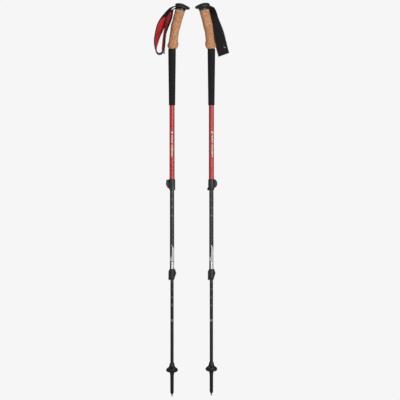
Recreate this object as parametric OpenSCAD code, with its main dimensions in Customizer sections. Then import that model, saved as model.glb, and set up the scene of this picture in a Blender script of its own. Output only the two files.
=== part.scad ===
// A pair of three-section trekking poles, standing upright side by side.
// The ground point midway between the two tips is the origin and +Z runs up the poles.
// Each pole has a canted cork grip, a foam sleeve, three telescoping tubes held by two
// cam-lever clamps, a trekking basket and a plastic ferrule with a carbide tip.

/* [Pair] */
// Distance between the two pole axes
pole_spacing = 120; // [116:2:200]
// Turn of the right grip about its own axis, away from facing the left grip
right_turn = 25; // [0:5:30]
// How much shorter the right pole's lower section is set
right_lower_lift = 3; // [0:1:10]

/* [Tubes] */
// Outside radius of the upper tube
upper_r = 7.75; // [7.7:0.05:8]
// Outside radius of the middle tube
middle_r = 6.5; // [6.4:0.05:6.6]
// Outside radius of the lower tube
lower_r = 5; // [4.8:0.05:5.05]
// Gap round a tube inside the next tube up
tube_gap = 0.35; // [0.3:0.05:0.45]
// Wall of the lower tube
lower_wall = 1; // [0.8:0.1:1.2]
// Running clearance of a guide bush or of a collar lip
run_fit = 0.05; // [0.02:0.01:0.08]
// Length of a tube that is inside the next tube up
insertion = 149; // [120:1:150]

/* [Heights] */
// Height of the middle of the lower clamp
lower_clamp_z = 372.5; // [360:0.5:380]
// Height of the middle of the upper clamp
upper_clamp_z = 646; // [640:1:652]
// Height of the bottom of the foam sleeve
foam_z = 888; // [860:1:920]
// Height of the bottom of the cork grip
cork_z = 1060; // [1056:1:1064]
// Height of the basket's rim
basket_z = 81; // [80:0.5:82]

/* [Grip] */
// Forward lean of the grip
cant = 12; // [10:0.5:13]
// Radius of the foam sleeve at its top
foam_top_r = 11.6; // [11:0.1:11.8]
// Radius of the foam sleeve at its bottom
foam_bottom_r = 9.7; // [9:0.1:10]
// Thickness of the plate under the head cap
base_h = 5; // [4:0.5:5.5]
// Radius of the stem through the cork
stem_r = 6; // [5:0.5:6.5]

/* [Wrist strap] */
// Thickness of the webbing
webbing_t = 1.6; // [1.2:0.1:2]
// Thickness of the lining
lining_t = 2.4; // [1.5:0.1:2.6]
// Width of the webbing at the head
strap_root_w = 18; // [16:1:20]
// Width of the strap round the wrist
strap_wrist_w = 34; // [30:1:36]

/* [Clamps] */
// Height of a clamp's collar
collar_h = 33; // [32:1:34]
// Wall of a clamp's collar
collar_wall = 2; // [1.8:0.1:2.2]
// Thickness of a clamp's lever arm
arm_t = 2; // [1.6:0.1:2.4]

/* [Tip] */
// Radius of the ferrule's straight land
land_r = 5.4; // [5.3:0.05:5.5]
// Radius of the basket's rim
basket_r = 18; // [17:0.5:25]

/* [Hidden] */
$fn = 64;
e = 0.01;

LEFT = -1;
RIGHT = 1;

// Tube bores
upper_bore_r = middle_r + tube_gap;
middle_bore_r = lower_r + tube_gap;
lower_bore_r = lower_r - lower_wall;

// A clamp's tube ends on a step this far below the clamp's middle
step_z = -8;
collar_half = collar_h / 2;
collar_nose = 7;
middle_bottom = lower_clamp_z + step_z;
upper_bottom = upper_clamp_z + step_z;
middle_top = upper_bottom + insertion;
lower_top = middle_bottom + insertion;
upper_top = cork_z + 25;
lower_bottom = 74;

// Guide bushes
bush_h = 13;
bush_plug_h = 16;

// Clamp ears, cam pin and screw, with the ears pointing along -X
ear_r = 14;
ear_x = -4.5;
ear_z = 3.5;
ear_half_t = 3.75;
slit_half = 0.75;
cam_r = 3.6;
cam_throw = 0.4;
cam_gap = 0.3;
cam_x = -13.8;
cam_y = -(ear_half_t + cam_gap + cam_r + cam_throw);
cam_pin_r = 2;
cam_pin_h = 24;
screw_r = 1.5;
screw_head_r = 2.7;
screw_head_h = 2.4;
arm_gap = 0.4;
arm_end = 318;
// Slot round a cam that clears the screw over the lever's whole travel
cam_slot_from = 32;
cam_slot_angle = 236;
cam_slot_h = 3.8;
// Turn of a lower clamp about its tube
lower_clamp_turn = -116;

// Slits that let a tube's bottom end close under its clamp
slit_w = 1.5;
slit_h = 19;

// Head, in the grip's own frame with the beak along +X
cork_h = 118;
head_x = 24.5;
head_z = cork_z + cork_h;
stem_h = 93;
base_end_r = 14.2;
base_shift = 1.8;
strap_pin_x = 13.5;
strap_pin_z = head_z + 9.5;
strap_pin_r = 1.5;
strap_pin_h = 26;
strap_loop_r = 3.1;
strap_loop_w = strap_root_w + 0.7;
strap_slot_half = 11;
strap_slot_depth = 3.7;

// Slot for the strap from the side, from the strap pin: forward and up
STRAP_SLOT = [
    [strap_slot_depth, -4], [-1, -4.2], [-5.5, -5.7], [-30, -25], [-30, 34], [-3.2, 8],
    [0.7, 4.5], [strap_slot_depth, 4.5]
];

// Balls that the head cap is stretched over, in pairs either side of its middle plane:
// forward, half apart, above the cork, radius
CAP_BALLS = [
    [16.5, 7, 13.5, 7.3], [23, 6, 12.5, 9.5], [31, 5.5, 11.3, 9.2], [41, 3, 8.6, 6.6],
    [50, 0, 6, 4.2], [15, 9, 8, 5], [35, 8.5, 4.5, 5]
];

// Outlines of a clamp's lever from the side: along the tube's -X to +X, and up
UPPER_LEVER_SIDE = [
    [-22, 15], [-12, 15], [-10.5, 8.5], [-5, 2.5], [2.5, -6], [9, -9.5], [14, -10], [14, -16.5],
    [4, -17.5], [-5, -16.5], [-15, -7], [-18.5, 1], [-22, 2]
];
LOWER_LEVER_SIDE = [
    [-22, 15], [-12, 15], [-9, 13], [2, 11.5], [7, 9], [14, 8], [14, -16.5], [4, -17.5],
    [-5, -16.5], [-15, -7], [-18.5, 1], [-22, 2]
];

// Ferrule and basket outlines: radius and height
tip_inset = 8;
tip_r = 2.4;
nose_r = 3.2;
sleeve_r = land_r + 0.2;
sleeve_z = 64;
sleeve_top = 101;
basket_holes = 6;

// Cork rings: height, centre, half depth, half width
CORK = [
    [0, 1.5, 11.9, 11.9], [3, 2, 13, 12.8], [7, 2, 15.8, 14.2], [12, 2.8, 16.5, 14.6],
    [17, 4, 15.8, 14], [22, 4.3, 14.4, 13], [28, 4.5, 13.6, 12.6], [40, 6, 13.4, 12.5],
    [52, 7.6, 13.2, 12.6], [64, 10.2, 14.3, 13.2], [74, 12.4, 14.9, 13.6],
    [84, 15.2, 14.4, 13.4], [96, 18.4, 14.7, 13.2], [108, 22, 15, 13.2],
    [118, 24.5, 15.2, 13.4]
];
CORK_SIDES = 28;

// Strap routes down one run, round the wrist end and up the other, in millimetres.
// Each row is a point on the webbing's inner face, and the way that face looks there.
LEFT_ROUTE = [
    [[13.5, 0, 1189.2], [0, 0, -1]], [[6, 0, 1188.2], [0.1, 0, -1]],
    [[-2, 0.8, 1184], [0.3, -0.1, -0.9]], [[-10, 3.5, 1175.5], [0.5, -0.3, -0.7]],
    [[-19, 7, 1161], [0.65, -0.6, -0.4]], [[-27, 7.5, 1146], [0.62, -0.7, -0.35]],
    [[-34, 6.5, 1131], [0.68, -0.66, -0.3]], [[-40, 5, 1115], [0.8, -0.52, -0.2]],
    [[-45, 3, 1098], [0.88, -0.38, -0.05]], [[-48.5, 1, 1081], [0.94, -0.28, 0]],
    [[-49.5, 0, 1066], [1, -0.12, 0.1]], [[-48, 0, 1053], [0.9, 0, 0.4]],
    [[-43, 0, 1046], [0.4, 0, 0.9]], [[-35, 0, 1045.5], [-0.3, 0, 1]],
    [[-29.5, 0, 1051], [-0.9, 0, 0.4]], [[-27.5, 0, 1062], [-1, -0.2, 0.1]],
    [[-26, -0.3, 1078], [-1, -0.22, 0]], [[-24.5, -0.8, 1094], [-1, -0.2, 0.1]],
    [[-22, -1.5, 1111], [-0.98, -0.22, 0.2]], [[-17.9, -3, 1128], [-0.93, -0.3, 0.3]],
    [[-13.8, -4.5, 1144], [-0.8, -0.5, 0.35]], [[-9, -5, 1159], [-0.7, -0.6, 0.4]],
    [[-3, -2.8, 1173], [-0.55, -0.35, 0.7]], [[5.5, -0.3, 1183.6], [-0.25, -0.05, 0.95]],
    [[13.5, 0, 1185.8], [0, 0, 1]]
];
RIGHT_ROUTE = [
    [[-12.2, -5.7, 1185.8], [0, 0, 1]], [[-5.4, -2.5, 1184.2], [0.25, 0.1, 1]],
    [[0, 0.6, 1178.5], [0.55, 0.3, 0.7]], [[3, 2.6, 1171], [0.4, 0.8, 0.35]],
    [[6.2, 5, 1160], [0.15, 1, 0.1]], [[10.4, 7, 1147], [0, 1, 0]],
    [[15, 7.8, 1131], [0, 1, 0]], [[19.8, 7.6, 1115], [0, 1, 0]],
    [[24.2, 7.2, 1098], [0, 1, 0]], [[28.4, 7.2, 1081], [0, 1, 0]],
    [[32.2, 8, 1066], [0, 1, 0.1]], [[35.6, 10, 1052.5], [-0.1, 0.9, 0.4]],
    [[37.6, 12.8, 1046], [-0.25, 0.5, 0.8]], [[38.1, 16, 1045], [-0.34, 0, 0.94]],
    [[37.5, 19.2, 1046.6], [-0.25, -0.5, 0.8]], [[35.6, 22, 1052.5], [-0.1, -0.9, 0.4]],
    [[32.2, 24, 1066], [0, -1, 0.1]], [[28.4, 24.9, 1081], [0, -1, 0]],
    [[24.2, 25, 1098], [0, -1, 0]], [[19.8, 24.2, 1115], [0, -1, 0]],
    [[15, 22, 1131], [0, -1, 0]], [[10.6, 18.5, 1147], [0, -1, -0.1]],
    [[7, 14.2, 1160], [0, -1, -0.2]], [[3.2, 8.4, 1173], [-0.15, -0.8, -0.6]],
    [[-0.6, 1.6, 1183.5], [-0.15, -0.3, -0.95]], [[-5.4, -2.5, 1188.4], [0, 0, -1]],
    [[-12.2, -5.7, 1189.2], [0, 0, -1]]
];
STRAP_STEPS = 3;
STRAP_TAPER = 100;
LINING_FIRST = 4;
LEFT_LINING_LAST = 2;
RIGHT_LINING_LAST = 3;
LINING_INSET = 2;

// ---- placing ----

module at_pole(side)
    translate([side * pole_spacing / 2, 0, 0])
    children();

module at_grip(side)
    at_pole(side)
    rotate(side == LEFT ? 0 : 180 + right_turn)
    children();

module at_upper_clamp(side)
    at_grip(side)
    translate([0, 0, upper_clamp_z])
    children();

module at_lower_clamp(side)
    at_pole(side)
    translate([0, 0, lower_clamp_z])
    rotate(lower_clamp_turn)
    children();

module at_lower_section(side)
    at_pole(side)
    translate([0, 0, side == RIGHT ? right_lower_lift : 0])
    children();

module at_head()
    translate([head_x, 0, head_z])
    rotate([0, cant, 0])
    children();

// ---- shared shapes ----

module pipe(outer, inner, bottom, top)
    translate([0, 0, bottom])
    difference() {
        cylinder(r = outer, h = top - bottom);
        translate([0, 0, -1])
        cylinder(r = inner, h = top - bottom + 2);
    }

// Closed skin over a list of rings that all have the same number of points. Skins that share
// a face meet exactly when one of them is turned, which splits its quads the other way.
module skin(rings, turned = false) {
    sides = len(rings[0]);
    last = len(rings) - 1;
    points = [for (ring = rings) for (point = ring) point];
    walls = [
        for (i = [0 : last - 1])
        for (j = [0 : sides - 1])
        let (k = (j + 1) % sides, a = i * sides, b = (i + 1) * sides)
        each turned
            ? [[a + j, b + j, a + k], [b + j, b + k, a + k]]
            : [[a + j, b + j, b + k], [a + j, b + k, a + k]]
    ];
    bottom = [for (j = [0 : sides - 1]) j];
    top = [for (j = [sides - 1 : -1 : 0]) last * sides + j];
    polyhedron(points = points, faces = concat(walls, [bottom, top]), convexity = 6);
}

function unit(v) = v / norm(v);

// Smooth curve value between b and c, with a and d the points before and after
function blend(a, b, c, d, t) =
    0.5 * (2 * b + (c - a) * t + (2 * a - 5 * b + 4 * c - d) * t * t
    + (3 * b - a - 3 * c + d) * t * t * t);

function route_value(route, which, i, t) =
    let (n = len(route) - 1)
    blend(route[max(i - 1, 0)][which], route[i][which], route[min(i + 1, n)][which],
        route[min(i + 2, n)][which], t);

function route_points(route, which) = [
    for (i = [0 : len(route) - 2])
    for (s = [0 : STRAP_STEPS - 1])
    route_value(route, which, i, s / STRAP_STEPS),
    route[len(route) - 1][which]
];

function run_lengths(path, i = 0, sum = 0, out = []) =
    i == len(path) ? out :
    let (next = i == 0 ? 0 : sum + norm(path[i] - path[i - 1]))
    run_lengths(path, i + 1, next, concat(out, [next]));

function strap_half_width(from_end) =
    let (k = min(from_end / STRAP_TAPER, 1))
    (strap_root_w + (strap_wrist_w - strap_root_w) * k * k * (3 - 2 * k)) / 2;

// Rings of a flat band along a route, from depth t0 to t1 on the side that it faces.
// Its edges lie inset from the webbing's, and its face at t1 has seams inset from its edges.
function band_rings(route, first, last, inset, seam, t0, t1) =
    let (
        path = route_points(route, 0),
        face = route_points(route, 1),
        length = run_lengths(path),
        total = length[len(length) - 1],
        from = first * STRAP_STEPS,
        to = len(path) - 1 - last * STRAP_STEPS
    )
    [for (i = [from : to])
        let (
            along = unit(path[min(i + 1, len(path) - 1)] - path[max(i - 1, 0)]),
            across = unit(cross(face[i], along)),
            inward = cross(along, across),
            half = strap_half_width(min(length[i], total - length[i])) - inset,
            outline = seam == 0
                ? [[-half, t0], [half, t0], [half, t1], [-half, t1]]
                : [
                    [-half, t0], [half, t0], [half, t1], [half - seam, t1],
                    [seam - half, t1], [-half, t1]
                ]
        )
        [for (corner = outline) path[i] + across * corner[0] + inward * corner[1]]
    ];

// ---- grip ----

function cork_ring(row) =
    let (tilt = cant * row[0] / cork_h)
    [for (j = [0 : CORK_SIDES - 1])
        let (a = -360 * j / CORK_SIDES, u = row[2] * cos(a))
        [row[1] + u * cos(tilt), row[3] * sin(a), cork_z + row[0] - u * sin(tilt)]
    ];

module stem()
    at_head()
    translate([0, 0, -stem_h])
    cylinder(r = stem_r, h = stem_h + base_h);

module cork_grip()
    color("peru")
    difference() {
        skin([for (row = CORK) cork_ring(row)]);
        translate([0, 0, cork_z - 1])
        cylinder(r = upper_r, h = upper_top + 5 - cork_z + 1);
        stem();
    }

module grip_core()
    color("dimgray")
    union() {
        translate([0, 0, upper_top - 40])
        cylinder(r = upper_bore_r, h = 42);
        translate([0, 0, upper_top])
        cylinder(r = upper_r, h = 5);
        stem();
    }

module base_outline()
    union() {
        translate([-base_shift, 0])
        circle(r = base_end_r);
        translate([base_shift, 0])
        circle(r = base_end_r);
        square([2 * base_shift, 2 * base_end_r], center = true);
    }

module strap_slot()
    translate([strap_pin_x, 0, strap_pin_z])
    rotate([90, 0, 0])
    linear_extrude(2 * strap_slot_half, center = true)
    polygon(STRAP_SLOT);

module head_base()
    color("darkslategray")
    difference() {
        at_head()
        linear_extrude(base_h)
        base_outline();
        stem();
        strap_slot();
    }

module strap_pin_shape()
    translate([strap_pin_x, 0, strap_pin_z])
    rotate([90, 0, 0])
    cylinder(r = strap_pin_r, h = strap_pin_h, center = true);

module strap_wedge_shape(gap)
    translate([strap_pin_x + strap_slot_depth, 0, strap_pin_z])
    rotate([90, 0, 0])
    linear_extrude(2 * (strap_slot_half - 1 + gap), center = true)
    polygon([[0, -2 - gap], [7 + gap, -3.5 - gap], [7 + gap, 3 + gap], [0, 1.5 + gap]]);

module head_cap()
    color("darkgray")
    difference() {
        hull()
            for (ball = CAP_BALLS)
                for (side = [-1, 1])
                    translate([ball[0], side * ball[1], head_z + ball[2]])
                    sphere(r = ball[3], $fn = 24);
        at_head()
        translate([-60, -30, base_h - 40])
        cube([120, 60, 40]);
        strap_slot();
        strap_pin_shape();
        translate([-0.2, 0, 0])
        strap_wedge_shape(0.2);
    }

module strap_wedge()
    color("black")
    strap_wedge_shape(0);

module strap_pin()
    color("silver")
    strap_pin_shape();

module foam_sleeve()
    color("black")
    translate([0, 0, foam_z])
    rotate_extrude()
    polygon([
        [upper_r, 0], [foam_bottom_r - 1.2, 0], [foam_bottom_r, 1.2],
        [foam_bottom_r + 0.4, 42], [foam_bottom_r + 0.8, 72], [foam_top_r - 0.7, 102],
        [foam_top_r - 0.1, 150], [foam_top_r, cork_z - foam_z], [upper_r, cork_z - foam_z]
    ]);

// ---- wrist strap ----

function strap_route(side) = side == LEFT ? LEFT_ROUTE : RIGHT_ROUTE;

module wrist_strap(side) {
    color("black")
    union() {
        at_pole(side)
        skin(band_rings(strap_route(side), 0, 0, 0, LINING_INSET, -webbing_t, 0));
        at_grip(side)
        translate([strap_pin_x, 0, strap_pin_z])
        rotate([90, 0, 0])
        difference() {
            cylinder(r = strap_loop_r, h = strap_loop_w, center = true);
            cylinder(r = strap_pin_r + run_fit, h = strap_loop_w + 2, center = true);
        }
    }
}

module strap_lining(side) {
    last = side == LEFT ? LEFT_LINING_LAST : RIGHT_LINING_LAST;
    color("firebrick")
    at_pole(side)
    skin(
        band_rings(strap_route(side), LINING_FIRST, last, LINING_INSET, 0, 0, lining_t),
        turned = true
    );
}

// ---- tubes ----

// Four slits up from the bottom end of a tube
module slits(bottom)
    for (turn = [0, 90])
        rotate(turn)
        translate([-20, -slit_w / 2, bottom - 1])
        cube([40, slit_w, slit_h + 1]);

module upper_tube()
    color("indianred")
    difference() {
        pipe(upper_r, upper_bore_r, upper_bottom, upper_top);
        slits(upper_bottom);
    }

module middle_tube()
    color("dimgray")
    difference() {
        pipe(middle_r, middle_bore_r, middle_bottom, middle_top);
        slits(middle_bottom);
    }

module lower_tube()
    color("black")
    pipe(lower_r, lower_bore_r, lower_bottom, lower_top);

// Bush in the top end of a tube that guides it in the next tube up
module guide_bush(plug_r, guide_r, z)
    color("whitesmoke")
    translate([0, 0, z])
    union() {
        translate([0, 0, -bush_plug_h])
        cylinder(r = plug_r, h = bush_plug_h + 1);
        difference() {
            cylinder(r = guide_r, h = bush_h);
            for (groove = [4, 8])
                translate([0, 0, groove])
                pipe(guide_r + 1, guide_r - 0.6, 0, 1.2);
        }
    }

// ---- clamps: the tube's axis is Z and the ears point along -X ----

module ears()
    intersection() {
        translate([ear_x, 0, ear_z])
        rotate([90, 0, 0])
        cylinder(r = ear_r, h = 2 * ear_half_t, center = true);
        translate([-30, -10, -20])
        cube([26, 20, 40]);
    }

module collar(tube_r, inner_r) {
    body_r = tube_r + collar_wall;
    color("darkslategray")
    difference() {
        union() {
            rotate_extrude()
            polygon([
                [0, -collar_half], [inner_r + 1.4, -collar_half],
                [body_r, collar_nose - collar_half], [body_r, collar_half - 1],
                [body_r - 1, collar_half], [0, collar_half]
            ]);
            ears();
        }
        translate([0, 0, step_z])
        cylinder(r = tube_r, h = collar_h);
        translate([0, 0, -collar_half - 1])
        cylinder(r = inner_r + run_fit, h = collar_h);
        translate([-30, -slit_half, step_z - 1])
        cube([30, 2 * slit_half, 40]);
        translate([cam_x, 0, ear_z])
        rotate([90, 0, 0])
        cylinder(r = screw_r + 0.1, h = 30, center = true);
    }
}

module cam_pin()
    color("silver")
    translate([cam_x, cam_y, 0])
    difference() {
        translate([0, 0, ear_z - cam_pin_h / 2])
        cylinder(r = cam_pin_r, h = cam_pin_h);
        translate([0, cam_pin_r + 1, ear_z])
        rotate([90, 0, 0])
        cylinder(r = screw_r, h = cam_pin_r + 2);
    }

module tension_screw()
    color("silver")
    translate([cam_x, 0, ear_z])
    rotate([-90, 0, 0])
    union() {
        translate([0, 0, cam_y - 1])
        cylinder(r = screw_r, h = ear_half_t - cam_y + 1);
        translate([0, 0, ear_half_t])
        difference() {
            cylinder(r = screw_head_r, h = screw_head_h);
            translate([0, 0, 1])
            cylinder(r = 1.4, h = screw_head_h, $fn = 6);
        }
    }

// Plan of a lever: cam eye, a web, and an arm that wraps the collar
module lever_plan(body_r) {
    inner = body_r + arm_gap;
    outer = inner + arm_t;
    translate([cam_x, cam_y + cam_throw])
    circle(r = cam_r);
    difference() {
        union() {
            intersection() {
                circle(r = outer);
                polygon([
                    [0, 0], [40 * cos(225), 40 * sin(225)], [0, -60],
                    [60 * cos(300), 60 * sin(300)], [40 * cos(arm_end), 40 * sin(arm_end)]
                ]);
            }
            polygon([
                [cam_x + 0.8, cam_y + cam_throw - cam_r + 0.2], [-3.5, -outer + 0.6],
                [-5, -inner + 1], [cam_x + 3.4, cam_y + 1]
            ]);
            translate([(outer - 0.8) * cos(arm_end), (outer - 0.8) * sin(arm_end)])
            circle(r = 1.6);
        }
        circle(r = inner);
    }
}

module lever(tube_r, side_outline)
    color("black")
    difference() {
        intersection() {
            translate([0, 0, -20])
            linear_extrude(40)
            lever_plan(tube_r + collar_wall);
            rotate([90, 0, 0])
            linear_extrude(60, center = true)
            polygon(side_outline);
        }
        translate([cam_x, cam_y, -30])
        cylinder(r = cam_pin_r + run_fit, h = 60);
        translate([cam_x, cam_y, ear_z - cam_slot_h / 2])
        rotate([0, 0, cam_slot_from])
        rotate_extrude(angle = cam_slot_angle)
        square([10, cam_slot_h]);
    }

// ---- tip ----

module ferrule()
    color("black")
    difference() {
        rotate_extrude()
        polygon([
            [0, tip_inset], [nose_r, tip_inset], [4.7, 10], [5.15, 13], [5.3, 20], [5.35, 30],
            [land_r, 40], [land_r, sleeve_z], [sleeve_r, sleeve_z], [sleeve_r, sleeve_top],
            [0, sleeve_top]
        ]);
        translate([0, 0, lower_bottom])
        cylinder(r = lower_r, h = 40);
        translate([0, 0, -1])
        cylinder(r = tip_r, h = tip_inset + 14);
    }

module basket() {
    bore = sleeve_r + run_fit;
    color("black")
    translate([0, 0, basket_z])
    difference() {
        rotate_extrude()
        polygon([
            [bore, -15], [6.2, -15], [6.4, -10], [8, -7.4], [12, -6.8], [basket_r - 2.6, -5.4],
            [basket_r - 0.8, -3.4], [basket_r, -1.2], [basket_r, 1.2], [basket_r - 0.8, 3.4],
            [basket_r - 2.6, 5.4], [12.6, 7.2], [10, 9.4], [8.6, 12.5], [7.4, 17.5], [6.5, 22],
            [bore, 22]
        ]);
        for (hole = [1 : basket_holes])
            rotate(hole * 360 / basket_holes)
            translate([12.6, 0, -10])
            cylinder(r = 1.9, h = 30);
    }
}

module carbide_tip()
    color("silver")
    union() {
        translate([0, 0, tip_inset - e])
        cylinder(r = tip_r, h = 13 + e);
        cylinder(r1 = 1.3, r2 = tip_r, h = tip_inset);
    }

// ---- nodes ----

at_grip(LEFT) head_cap();  // left_head_cap
at_grip(LEFT) head_base();  // left_head_base
at_grip(LEFT) grip_core();  // left_grip_core
at_grip(LEFT) cork_grip();  // left_cork_grip
at_grip(LEFT) strap_wedge();  // left_strap_wedge
at_grip(LEFT) strap_pin();  // left_strap_pin
wrist_strap(LEFT);  // left_wrist_strap
strap_lining(LEFT);  // left_strap_lining
at_grip(LEFT) foam_sleeve();  // left_foam_sleeve
at_grip(LEFT) upper_tube();  // left_upper_tube
at_upper_clamp(LEFT) collar(upper_r, middle_r);  // left_upper_collar
at_upper_clamp(LEFT) lever(upper_r, UPPER_LEVER_SIDE);  // left_upper_lever
at_upper_clamp(LEFT) cam_pin();  // left_upper_cam_pin
at_upper_clamp(LEFT) tension_screw();  // left_upper_screw
at_pole(LEFT) middle_tube();  // left_middle_tube
at_pole(LEFT) guide_bush(middle_bore_r - run_fit, upper_bore_r - run_fit, middle_top);  // left_middle_bush
at_lower_clamp(LEFT) collar(middle_r, lower_r);  // left_lower_collar
at_lower_clamp(LEFT) lever(middle_r, LOWER_LEVER_SIDE);  // left_lower_lever
at_lower_clamp(LEFT) cam_pin();  // left_lower_cam_pin
at_lower_clamp(LEFT) tension_screw();  // left_lower_screw
at_lower_section(LEFT) lower_tube();  // left_lower_tube
at_lower_section(LEFT) guide_bush(lower_bore_r - run_fit, middle_bore_r - run_fit, lower_top);  // left_lower_bush
at_lower_section(LEFT) ferrule();  // left_ferrule
at_lower_section(LEFT) basket();  // left_basket
at_lower_section(LEFT) carbide_tip();  // left_carbide_tip

at_grip(RIGHT) head_cap();  // right_head_cap
at_grip(RIGHT) head_base();  // right_head_base
at_grip(RIGHT) grip_core();  // right_grip_core
at_grip(RIGHT) cork_grip();  // right_cork_grip
at_grip(RIGHT) strap_wedge();  // right_strap_wedge
at_grip(RIGHT) strap_pin();  // right_strap_pin
wrist_strap(RIGHT);  // right_wrist_strap
strap_lining(RIGHT);  // right_strap_lining
at_grip(RIGHT) foam_sleeve();  // right_foam_sleeve
at_grip(RIGHT) upper_tube();  // right_upper_tube
at_upper_clamp(RIGHT) collar(upper_r, middle_r);  // right_upper_collar
at_upper_clamp(RIGHT) lever(upper_r, UPPER_LEVER_SIDE);  // right_upper_lever
at_upper_clamp(RIGHT) cam_pin();  // right_upper_cam_pin
at_upper_clamp(RIGHT) tension_screw();  // right_upper_screw
at_pole(RIGHT) middle_tube();  // right_middle_tube
at_pole(RIGHT) guide_bush(middle_bore_r - run_fit, upper_bore_r - run_fit, middle_top);  // right_middle_bush
at_lower_clamp(RIGHT) collar(middle_r, lower_r);  // right_lower_collar
at_lower_clamp(RIGHT) lever(middle_r, LOWER_LEVER_SIDE);  // right_lower_lever
at_lower_clamp(RIGHT) cam_pin();  // right_lower_cam_pin
at_lower_clamp(RIGHT) tension_screw();  // right_lower_screw
at_lower_section(RIGHT) lower_tube();  // right_lower_tube
at_lower_section(RIGHT) guide_bush(lower_bore_r - run_fit, middle_bore_r - run_fit, lower_top);  // right_lower_bush
at_lower_section(RIGHT) ferrule();  // right_ferrule
at_lower_section(RIGHT) basket();  // right_basket
at_lower_section(RIGHT) carbide_tip();  // right_carbide_tip
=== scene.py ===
import math

import bmesh
import bpy
from mathutils import Matrix, Vector


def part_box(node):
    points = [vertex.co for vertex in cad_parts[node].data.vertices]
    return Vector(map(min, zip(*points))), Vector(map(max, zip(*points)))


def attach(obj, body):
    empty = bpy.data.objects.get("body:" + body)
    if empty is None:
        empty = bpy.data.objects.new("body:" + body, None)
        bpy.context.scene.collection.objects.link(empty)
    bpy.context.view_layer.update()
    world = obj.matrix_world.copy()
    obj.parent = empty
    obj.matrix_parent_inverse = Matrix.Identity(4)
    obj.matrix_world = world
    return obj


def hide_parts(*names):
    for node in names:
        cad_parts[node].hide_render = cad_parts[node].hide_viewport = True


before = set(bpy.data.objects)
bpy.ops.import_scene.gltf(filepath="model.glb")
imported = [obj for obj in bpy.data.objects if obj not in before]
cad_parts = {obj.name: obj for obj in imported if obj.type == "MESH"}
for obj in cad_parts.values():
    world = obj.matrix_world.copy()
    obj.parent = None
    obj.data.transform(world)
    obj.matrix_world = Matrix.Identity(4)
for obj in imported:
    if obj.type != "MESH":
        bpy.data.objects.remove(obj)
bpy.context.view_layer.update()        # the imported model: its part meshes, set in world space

MM = 0.001
SIDES = ("left", "right")

# ---- where things are, in millimetres ----

POLE_X = {s: sum(p[0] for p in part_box(f"{s}_lower_tube")) / 2 / MM for s in SIDES}
GRIP_TURN = {"left": 0.0, "right": 205.0}
CORK_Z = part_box("left_cork_grip")[0][2] / MM
FOAM_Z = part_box("left_foam_sleeve")[0][2] / MM
CANT = 12.0
CORK_H = 118.0
HEAD_Z = CORK_Z + CORK_H
UPPER_R = 7.75
MIDDLE_R = 6.5
LOWER_R = 5.0
MM_PER_PIXEL = 3.05
FLOOR_ROW = 396.5  # the row of the reference view where the tips stand


def at_pole(side):
    return Matrix.Translation((POLE_X[side] * MM, 0, 0))


def at_grip(side):
    return at_pole(side) @ Matrix.Rotation(math.radians(GRIP_TURN[side]), 4, "Z")


# ---- meshes ----


def mesh_object(name, verts, faces, matrix=None, angle=40):
    """A smooth-shaded object from points in millimetres."""
    mesh = bpy.data.meshes.new(name)
    mesh.from_pydata([tuple(c * MM for c in v) for v in verts], [], faces)
    if matrix is not None:
        mesh.transform(matrix)
    bm = bmesh.new()
    bm.from_mesh(mesh)
    bmesh.ops.recalc_face_normals(bm, faces=bm.faces)
    bm.to_mesh(mesh)
    bm.free()
    mesh.shade_smooth()
    mesh.set_sharp_from_angle(angle=math.radians(angle))
    obj = bpy.data.objects.new(name, mesh)
    bpy.context.scene.collection.objects.link(obj)
    return obj


def ring_faces(count, size, start=0, closed=False):
    """Faces of a skin over count rings of size points, capped unless it closes on itself."""
    faces = []
    last = count if closed else count - 1
    for i in range(last):
        a = start + i * size
        b = start + (i + 1) % count * size
        for j in range(size):
            k = (j + 1) % size
            faces.append((a + j, a + k, b + k, b + j))
    if not closed:
        faces.append(tuple(start + j for j in reversed(range(size))))
        faces.append(tuple(start + (count - 1) * size + j for j in range(size)))
    return faces


def loft(name, rings, matrix=None, closed=False, angle=40):
    verts = [p for ring in rings for p in ring]
    faces = ring_faces(len(rings), len(rings[0]), closed=closed)
    return mesh_object(name, verts, faces, matrix, angle)


def lathe(name, profile, matrix=None, sides=96, angle=40):
    """A closed solid of revolution about Z from a closed outline of (radius, height)."""
    rings = []
    for j in range(sides):
        a = 2 * math.pi * j / sides
        rings.append([(r * math.cos(a), r * math.sin(a), z) for r, z in profile])
    return loft(name, rings, matrix, closed=True, angle=angle)


def spline(a, b, c, d, t):
    return 0.5 * (
        2 * b + (c - a) * t + (2 * a - 5 * b + 4 * c - d) * t * t
        + (3 * b - a - 3 * c + d) * t ** 3
    )


def smooth_rows(rows, steps, closed=False):
    """Rows of numbers put through a smooth curve, steps to a row."""
    n = len(rows)
    out = []
    for i in range(n if closed else n - 1):
        if closed:
            four = [rows[(i + k) % n] for k in (-1, 0, 1, 2)]
        else:
            four = [rows[min(max(i + k, 0), n - 1)] for k in (-1, 0, 1, 2)]
        for s in range(steps):
            out.append([spline(*col, s / steps) for col in zip(*four)])
    if not closed:
        out.append(list(rows[-1]))
    return out


# ---- node materials ----


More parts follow.
